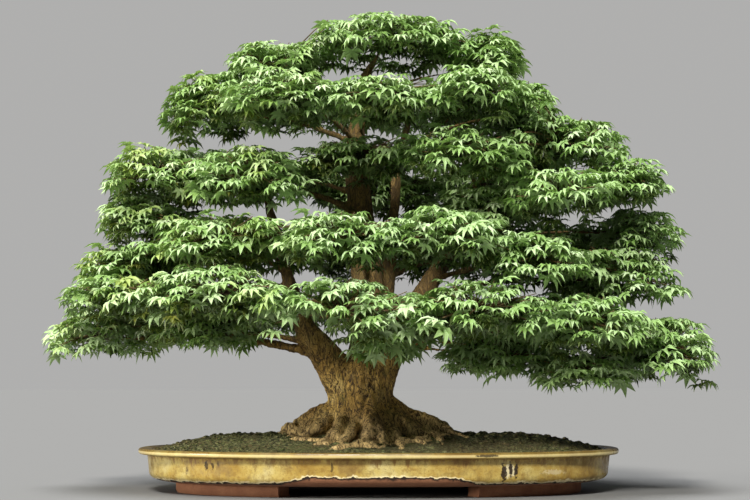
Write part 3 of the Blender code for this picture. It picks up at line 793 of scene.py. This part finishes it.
def bridges_of(name, rng):
    """Shoots that close the gaps between a pad and the later pads of its layer, as (point, normal) pairs."""
    found = []
    middle, half = PAD_ROOM[name]
    for other in PADS[PADS.index(name) + 1 :]:
        next_middle, next_half = PAD_ROOM[other]
        way = Vector((next_middle.x - middle.x, next_middle.y - middle.y, 0))
        if abs(next_middle.z - middle.z) > LAYER_HEIGHT or way.length < 0.01:
            continue
        towards = way.normalized()
        near, far = reach_of(name, towards), reach_of(other, -towards)
        gap = way.length - near - far
        if not DEEPEST_OVERLAP < gap < WIDEST_BRIDGE:
            continue
        across = Vector((-towards.y, towards.x, 0))
        wide = BRIDGE_WIDTH * min(reach_of(name, across), reach_of(other, across))
        count = int(2 * wide * (gap + BRIDGE_MARGIN) / SHOOT_SPACING**2 * 1.5)
        for _ in range(count):
            t = rng.uniform(-BRIDGE_END, gap + BRIDGE_END)
            share = (t + BRIDGE_END) / (gap + 2 * BRIDGE_END)
            point = middle + towards * (near + t) + across * rng.uniform(-wide, wide)
            level = middle.z * (1 - share) + next_middle.z * share
            point.z = level + (half.z + next_half.z) / 2 * rng.uniform(-0.35, 0.55)
            out = Vector((point.x - TRUNK_X, point.y, 0)).normalized()
            spaced = all((point - seen).length > BRIDGE_SPACING for seen, _ in found)
            if spaced and not buried(point) and not in_window(point):
                found.append((point, (Vector((0, 0, 1)) + out * rng.uniform(0.1, 0.7)).normalized()))
    return found


def place_spray(sprays, point, normal, middle, rng, brightness, size):
    """A spray on a shoot's end, facing up and outwards, its end leaf pointing away from the pad's middle."""
    outward = Vector((point.x - middle.x, point.y - middle.y, 0))
    if outward.length < 0.008:
        outward = Vector((rng.uniform(-1, 1), rng.uniform(-1, 1), 0))
    outward.normalize()
    side = 1 - abs(normal.z)
    up = (normal * rng.uniform(0.6, 1.1) + Vector((0, 0, 0.75)) + outward * 0.25 * side).normalized()
    turn = frame_of(outward, up) @ Matrix.Rotation(rng.uniform(-0.8, 0.8), 4, "Z")
    place = point - normal * 0.005 - outward * 0.003 * side
    return placed_copy(rng.choice(sprays), sized(place, turn, size * rng.uniform(0.85, 1.15)), brightness)


def build_foliage(sprays, twig_pattern, material):
    """Each pad's leaves, joined into one piece, and the twigs that carry them."""
    twigs = []
    for name in PADS:
        rng = random.Random(name)
        middle, half = PAD_ROOM[name]
        hub = middle - Vector((0, 0, half.z * HUB_DROP))
        brightness = rng.uniform(*PAD_TONES)
        leaves = []
        for point, normal in shoots_of(name, rng) + bridges_of(name, rng):
            # Shoots on faces that look down get a darker tone, which is painted shade, and smaller sprays.
            shade = 0.16 * max(-normal.z, 0)
            tone = brightness - shade + rng.gauss(0, 0.05)
            leaves.append(place_spray(sprays, point, normal, middle, rng, tone, 1.0 - 1.2 * shade))
            twigs.append(twig_between(twig_pattern, hub, point - normal * 0.006, rng))
            # Leaves set inside and under a pad get the darker tones above: painted shade.
            if rng.random() < INNER_SHARE:
                inside = point.lerp(hub, rng.uniform(0.3, 0.5))
                leaves.append(place_spray(sprays, inside, normal, middle, rng, INNER_SHADE_TONE, 0.8))
            if rng.random() < UNDER_SHARE and "hem" not in name:
                under = point.lerp(middle, rng.uniform(0.10, 0.5))
                under -= Vector((0, 0, rng.uniform(0.012, 0.028)))
                if in_window(under):
                    continue
                leaves.append(place_spray(sprays, under, Vector((0, 0, 1)), middle, rng, UNDER_SHADE_TONE, 0.9))
        foliage = joined(leaves, name.replace("leaves_", "foliage_"))
        finish_piece(foliage, material, "leaves", name)
    return joined(twigs, "twigs")


def twig():
    """A twig of length 1 along +Z and thickness 1 at its foot, bent a little and tapering."""
    bpy.ops.mesh.primitive_cylinder_add(
        vertices=5, radius=0.5, depth=0.25, end_fill_type="NGON", location=(0, 0, 0.125)
    )
    stem = bpy.context.object
    bpy.ops.object.transform_apply(location=True)
    edit(stem)
    for step, (x, y) in enumerate(((0.9, 0.3), (-0.4, 0.8), (-1.2, -0.6))):
        top = 0.25 * (step + 1)
        pick_faces(stem, lambda middle, normal: normal.z > 0.9 and middle.z > top - 0.01)
        bpy.ops.mesh.extrude_region_move(TRANSFORM_OT_translate={"value": (x, y, 0.25)})
        bpy.ops.transform.resize(value=(0.78, 0.78, 1))
    leave_edit()
    smooth(stem)
    stem.name = "twig_pattern"
    return stem


def twig_between(pattern, start, end, rng):
    span = end - start
    thick = 0.0014 + 0.010 * span.length
    turn = span.to_track_quat("Z", "Y").to_matrix().to_4x4()
    matrix = (
        Matrix.Translation(start) @ turn @ Matrix.Rotation(rng.uniform(0, 6.28), 4, "Z")
        @ Matrix.Diagonal((thick, thick, span.length, 1))
    )
    return placed_copy(pattern, matrix)


# ---------------------------------------------------------------- the wood
def displace(item, name, basis, size, strength, stretch=1.0, depth=2):
    """Raises and lowers a surface by a cloud texture, which can be drawn out along Z."""
    texture = bpy.data.textures.new(name, "CLOUDS")
    texture.noise_basis = basis
    texture.noise_scale = size
    texture.noise_depth = depth
    holder = bpy.data.objects.new(name, None)
    bpy.context.scene.collection.objects.link(holder)
    holder.scale = (1.0, 1.0, stretch)
    bpy.context.view_layer.update()
    apply_modifier(
        item, "DISPLACE", texture=texture, texture_coords="OBJECT", texture_coords_object=holder,
        strength=strength, mid_level=0.5, direction="NORMAL",
    )
    bpy.data.objects.remove(holder)


# Roots down the flare and out into the moss: (heading, reach, thickness, spread of the fork).
ROOTS = [
    (194, 0.122, 0.0105, 14), (212, 0.120, 0.0085, 10), (231, 0.124, 0.0105, 18), (249, 0.118, 0.0085, 12),
    (267, 0.134, 0.0125, 15), (284, 0.116, 0.0080, 12), (301, 0.122, 0.0100, 16), (319, 0.122, 0.0085, 12),
    (334, 0.132, 0.0095, 14), (351, 0.138, 0.0100, 10), (14, 0.126, 0.0100, 14), (38, 0.118, 0.0090, 12),
    (62, 0.120, 0.0110, 16), (88, 0.124, 0.0090, 12), (112, 0.120, 0.0105, 16), (136, 0.118, 0.0090, 12),
    (160, 0.122, 0.0100, 14), (177, 0.114, 0.0085, 10),
]


def ground_under(*nodes):
    """A function that gives the top of some CAD nodes at a place round the foot of the trunk."""
    trees = []
    for node in nodes:
        mesh = node.data
        faces = [tuple(polygon.vertices) for polygon in mesh.polygons]
        trees.append(BVHTree.FromPolygons([v.co for v in mesh.vertices], faces))

    def top(x, y):
        hits = [tree.ray_cast(Vector((x, y, FLARE_TOP)), Vector((0, 0, -1)))[0] for tree in trees]
        return max([hit.z for hit in hits if hit], default=LIP_TOP)

    return top


def root_beads(pattern):
    """Beads set close along each root, which the remesh melts into knobbly forked roots."""
    rng = random.Random(31)
    top = ground_under(WOOD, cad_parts["moss"])
    beads = []
    for heading, reach, thick, spread in ROOTS:
        sway, knobs = rng.uniform(0, 6.28), rng.uniform(0, 6.28)
        for side in (-1, 1):
            for step in range(ROOT_BEADS + 1):
                s = step / ROOT_BEADS
                forked = max(s - FORK_AT, 0) / (1 - FORK_AT)
                angle = math.radians(heading + 5 * math.sin(sway + 4 * s) + side * spread * forked)
                away = FLARE_START + (reach * (1 - 0.08 * side * forked) - FLARE_START) * s
                swell = min(0.55 + 1.8 * s, 1.0) * (1 - 0.16 * s - 0.42 * forked)
                wide = thick * swell * (1 + 0.15 * math.sin(knobs + side + 19 * s))
                x, y = FLARE_X + away * math.cos(angle), away * math.sin(angle)
                sunk = 0.35 - 0.50 * forked + 1.2 * max(s - 0.84, 0) / 0.16
                place = Matrix.Translation((x, y, top(x, y) - wide * sunk))
                beads.append(placed_copy(pattern, place @ Matrix.Diagonal((wide, wide, wide, 1))))
    return beads


def build_wood(material):
    wood = merged_copy(WOOD, "bonsai_wood")
    bpy.ops.mesh.primitive_ico_sphere_add(subdivisions=2, radius=1.0)
    bead = bpy.context.object
    wood = joined([wood] + root_beads(bead), "bonsai_wood")
    bpy.data.objects.remove(bead)
    voxel = WOOD_VOXEL * 1.0
    apply_modifier(wood, "REMESH", mode="VOXEL", voxel_size=voxel)
    apply_modifier(wood, "SMOOTH", factor=0.5, iterations=8)
    displace(wood, "swellings", "ORIGINAL_PERLIN", 0.026, 0.0065, 1.8)
    displace(wood, "ridges", "ORIGINAL_PERLIN", 0.0075, 0.0034, 3.0)
    displace(wood, "fissures", "VORONOI_F2_F1", 0.0050, BARK_RELIEF, 2.4)
    apply_modifier(wood, "DECIMATE", ratio=WOOD_KEPT)
    smooth(wood)
    return finish_piece(wood, material, "bark", "trunk_and_branches")


# ---------------------------------------------------------------- the tray
def inset_of(x, y):
    """How far a point lies in from the lip's outer edge, on the tray's own oval."""
    low, high = -0.01, TRAY_HALF_DEPTH - 1e-6
    for _ in range(26):
        inset = (low + high) / 2
        across, deep = abs(x / (TRAY_HALF_LENGTH - inset)), abs(y / (TRAY_HALF_DEPTH - inset))
        reach = across**OVAL_POWER + deep**OVAL_POWER
        low, high = (inset, high) if reach < 1 else (low, inset)
    return low


def glaze_edge(x, y):
    """The height at which the glaze stops, at a point round the tray."""
    middle = max(0.0, 1 - (abs(x) / GLAZE_ARCH_REACH) ** 6) if abs(y) > TRAY_HALF_DEPTH * 0.4 else 0.0
    slow = noise.noise(Vector((x * 38, y * 38, 4.2))) * 0.0011
    wander = slow + noise.noise(Vector((x * 130, y * 130, 1.7))) * 0.0005
    return GLAZE_EDGE_Z + GLAZE_ARCH * middle + wander


def tray_profile():
    """The tray's section as (inset, z): up the outside from under its base, over the lip and down inside."""
    rises = [
        (0.120, 0.0), (0.084, 0.0), (FOOT_INNER, 0.0), (0.070, 0.0), (0.062, 0.0001), (0.056, 0.0003),
        (FOOT_OUTER, 0.0006), (0.040, 0.0014), (0.033, 0.0024), (0.0275, 0.0036), (0.0232, 0.0050),
        (0.0200, 0.0066), (0.0178, 0.0082), (0.0162, 0.0100), (0.0151, 0.0120),
    ]
    outside = [(inset, BASE_Z + rise) for inset, rise in rises]
    wall = [(0.0151 - 0.0026 * t / 9, BASE_Z + 0.0120 + 0.0235 * t / 9) for t in range(1, 10)]
    lip = [
        (0.0120, 0.0502), (0.0110, 0.0513), (0.0094, 0.0518), (0.0060, 0.0519), (0.0032, 0.0521),
        (0.0013, 0.0527), (0.0003, 0.0540), (0.0, 0.0556), (0.0, 0.0572), (0.0005, 0.0586), (0.0015, 0.0596),
        (0.0030, LIP_TOP), (0.0060, LIP_TOP + 0.0001), (0.0100, LIP_TOP), (0.0135, 0.0596), (0.0163, 0.0588),
        (0.0183, 0.0574), (0.0196, 0.0540), (0.0206, 0.0490), (0.0214, 0.0440), (0.0222, 0.0400),
        (0.0255, 0.0330), (0.0290, 0.0272), (0.0350, 0.0240), (0.0420, 0.0226), (0.0600, FLOOR_Z),
        (0.100, FLOOR_Z),
    ]
    return outside + wall + lip


def on_oval(inset, angle, z):
    power = 2 / OVAL_POWER
    c, s = math.cos(angle), math.sin(angle)
    x = (TRAY_HALF_LENGTH - inset) * math.copysign(abs(c) ** power, c)
    y = (TRAY_HALF_DEPTH - inset) * math.copysign(abs(s) ** power, s)
    return Vector((x, y, z))


def oval_angle(point, inset=0.0):
    """The angle that on_oval was given for a point."""
    power = OVAL_POWER / 2
    c = abs(point.x / (TRAY_HALF_LENGTH - inset)) ** power
    s = abs(point.y / (TRAY_HALF_DEPTH - inset)) ** power
    return math.atan2(math.copysign(s, point.y), math.copysign(c, point.x))


def build_tray(material):
    """One turn of the section round the oval, then the feet drawn down from the base."""
    profile = tray_profile()
    bpy.ops.mesh.primitive_circle_add(vertices=OVAL_STEPS, radius=1.0, fill_type="NOTHING")
    tray = bpy.context.object
    for v in tray.data.vertices:
        v.co = on_oval(profile[0][0], math.atan2(v.co.y, v.co.x), profile[0][1])
    edit(tray)
    bpy.ops.mesh.select_all(action="SELECT")
    for (inset, z), (next_inset, next_z) in zip(profile, profile[1:]):
        bpy.ops.mesh.extrude_edges_move(TRANSFORM_OT_translate={"value": (0, 0, next_z - z)})
        wider = (TRAY_HALF_LENGTH - next_inset) / (TRAY_HALF_LENGTH - inset)
        deeper = (TRAY_HALF_DEPTH - next_inset) / (TRAY_HALF_DEPTH - inset)
        bpy.ops.transform.resize(value=(wider, deeper, 1), center_override=(0, 0, next_z))
    bpy.ops.mesh.fill()
    pick_verts(tray, lambda co: co.z < BASE_Z + 1e-5 and inset_of(co.x, co.y) > 0.119)
    bpy.ops.mesh.fill()
    bpy.ops.mesh.select_all(action="SELECT")
    bpy.ops.mesh.normals_make_consistent(inside=False)

    def under_foot(middle, normal):
        inset = inset_of(middle.x, middle.y)
        angle = oval_angle(middle, inset)
        quarter = min(abs(angle), math.pi - abs(angle))
        return (
            FOOT_OUTER - 1e-4 < inset < FOOT_INNER and normal.z < -0.8 and FOOT_FROM < quarter < FOOT_TO
            and middle.z < BASE_Z + 0.004
        )

    pick_faces(tray, under_foot)
    for drop in FOOT_DROPS:
        bpy.ops.mesh.extrude_region_move(TRANSFORM_OT_translate={"value": (0, 0, -drop)})
    bpy.ops.transform.resize(value=(0.992, 0.982, 0.0), center_override=(0, 0, 0))
    leave_edit()
    cut_drains(tray)
    glazed = tray.data.attributes.new("glazed", "FLOAT", "POINT")
    for v, value in zip(tray.data.vertices, glazed.data):
        inset = inset_of(v.co.x, v.co.y)
        over = v.co.z - glaze_edge(v.co.x, v.co.y)
        outer = inset < 0.030 and v.co.z > 0.003
        value.value = over if outer else (0.02 if v.co.z > 0.05 else -0.02)
        if outer and v.co.z < 0.050:
            out = Vector((v.co.x / TRAY_HALF_LENGTH**2, v.co.y / TRAY_HALF_DEPTH**2, 0)).normalized()
            v.co += out * BEAD_HEIGHT * math.exp(-(((over - 0.0012) / 0.0014) ** 2))
    smooth(tray)
    bpy.ops.object.shade_smooth_by_angle(angle=math.radians(48))
    return finish_piece(tray, material, "glazed_clay", "tray")


def cut_drains(tray):
    """The two drain holes, cut through the floor."""
    for side in (-1, 1):
        bpy.ops.mesh.primitive_cylinder_add(
            vertices=32, radius=DRAIN_RADIUS, depth=0.03, location=(side * DRAIN_X, 0, (BASE_Z + FLOOR_Z) / 2)
        )
        drill = bpy.context.object
        apply_modifier(tray, "BOOLEAN", operation="DIFFERENCE", object=drill, solver="EXACT")
        bpy.data.objects.remove(drill)


# ---------------------------------------------------------------- the moss
def tuft(name, seed):
    """One small cushion of moss: a low dome with a ragged surface."""
    bpy.ops.mesh.primitive_ico_sphere_add(subdivisions=2, radius=1.0, location=(0, 0, 0))
    dome = bpy.context.object
    edit(dome)
    pick_verts(dome, lambda co: co.z < -0.2)
    bpy.ops.mesh.delete(type="VERT")
    bpy.ops.mesh.select_all(action="SELECT")
    bpy.ops.transform.resize(value=(1, 1, 0.72))
    bpy.ops.transform.vertex_random(offset=0.16, seed=seed)
    leave_edit()
    smooth(dome)
    dome.name = name
    return dome


def build_moss(material):
    moss = merged_copy(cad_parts["moss"], "moss_carpet")
    apply_modifier(moss, "SUBSURF", subdivision_type="SIMPLE", levels=2, render_levels=2)
    displace(moss, "hummocks", "ORIGINAL_PERLIN", 0.018, 0.0050)
    displace(moss, "cushions", "VORONOI_F1", 0.0080, -0.0034)
    smooth(moss)
    rng = random.Random(5)
    spots = [(p.center.copy(), p.normal.copy()) for p in moss.data.polygons if p.normal.z > 0.5]
    patterns = [tuft(f"tuft_{k}", k) for k in range(4)]
    pieces = [moss]
    for _ in range(TUFTS):
        middle, normal = rng.choice(spots)
        wide = rng.uniform(0.0014, 0.0040)
        turn = frame_of(normal.orthogonal(), normal) @ Matrix.Rotation(rng.uniform(0, 6.28), 4, "Z")
        size = Matrix.Diagonal((wide, wide * rng.uniform(0.8, 1.2), wide * rng.uniform(0.6, 1.1), 1))
        pieces.append(placed_copy(rng.choice(patterns), Matrix.Translation(middle) @ turn @ size))
    for pattern in patterns:
        bpy.data.objects.remove(pattern)
    moss = joined(pieces, "moss_carpet")
    return finish_piece(moss, material, "moss", "moss")


# ---------------------------------------------------------------- the stage
def stage_material(name, tint):
    material, n, shader = new_material(name)
    lighter = tuple(part * 1.02 for part in tint)
    n.put(shader.inputs["Base Color"], n.mix(n.noise(n.place(), 3.0, 2.0), tint, lighter))
    shader.inputs["Roughness"].default_value = 0.9
    return material


def studio_light(name, towards, power, softness, tint):
    """A broad, even light from far away, which shines in a direction."""
    data = bpy.data.lights.new(name, "SUN")
    data.energy = power
    data.angle = math.radians(softness)
    data.color = tint
    item = bpy.data.objects.new(name, data)
    item.rotation_euler = Vector(towards).to_track_quat("-Z", "Y").to_euler()
    item.location = -Vector(towards) * 3
    bpy.context.scene.collection.objects.link(item)


def build_stage():
    bpy.ops.mesh.primitive_plane_add(size=60.0, location=(0, 0, -0.0002))
    floor = bpy.context.object
    floor.name = "floor"
    floor.data.materials.append(stage_material("pale_floor", FLOOR_TINT))
    world = bpy.data.worlds.new("studio")
    bpy.context.scene.world = world
    world.use_nodes = True
    n = Nodes(world.node_tree)
    back = next(node for node in world.node_tree.nodes if node.type == "BACKGROUND")
    seen = n.add("ShaderNodeLightPath").outputs["Is Camera Ray"]
    n.put(back.inputs["Color"], n.mix(seen, SKY_TINT, BACKDROP_TINT))
    back.inputs["Strength"].default_value = 1.0
    for light in LIGHTS:
        studio_light(*light)
    camera = bpy.data.objects.new("camera", bpy.data.cameras.new("camera"))
    camera.location = CAMERA_PLACE
    camera.rotation_euler = (CAMERA_TILT, 0, 0)
    camera.data.lens = CAMERA_LENS
    bpy.context.scene.collection.objects.link(camera)
    bpy.context.scene.camera = camera
    bpy.context.scene.view_settings.view_transform = "Standard"


PAD_ROOM = {}
for pad in PADS:
    pad_low, pad_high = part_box(pad)
    PAD_ROOM[pad] = ((pad_low + pad_high) / 2, (pad_high - pad_low) / 2)

deselect()
build_stage()
leaf_green = leaf_material()
build_wood(bark_material())
build_tray(clay_material())
build_moss(moss_material())
leaf_shapes = leaf_patterns()
spray_shapes = [spray(f"spray_pattern_{k}", k, leaf_shapes) for k in range(SPRAY_PATTERNS)]
twig_shape = twig()
all_twigs = build_foliage(spray_shapes, twig_shape, leaf_green)
finish_piece(all_twigs, twig_material(), "bark")
for shape in leaf_shapes + spray_shapes + [twig_shape]:
    bpy.data.objects.remove(shape)

anodised = colour(96, 58, 30), colour(140, 92, 54), 500.0, 0.34, 0.9
SMALL_FINISHES = {
    "soil": soil_material(),
    "drain_mesh": plain_finish("black_plastic", colour(20, 20, 20), colour(48, 48, 46), 300.0, 0.42),
    "wire": plain_finish("anodised_wire", *anodised),
    "clip": plain_finish("anodised_clip", *anodised),
}
for node_name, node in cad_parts.items():
    for word, finish in SMALL_FINISHES.items():
        if node_name == word or (word != "soil" and word in node_name):
            node.data.materials.clear()
            node.data.materials.append(finish)
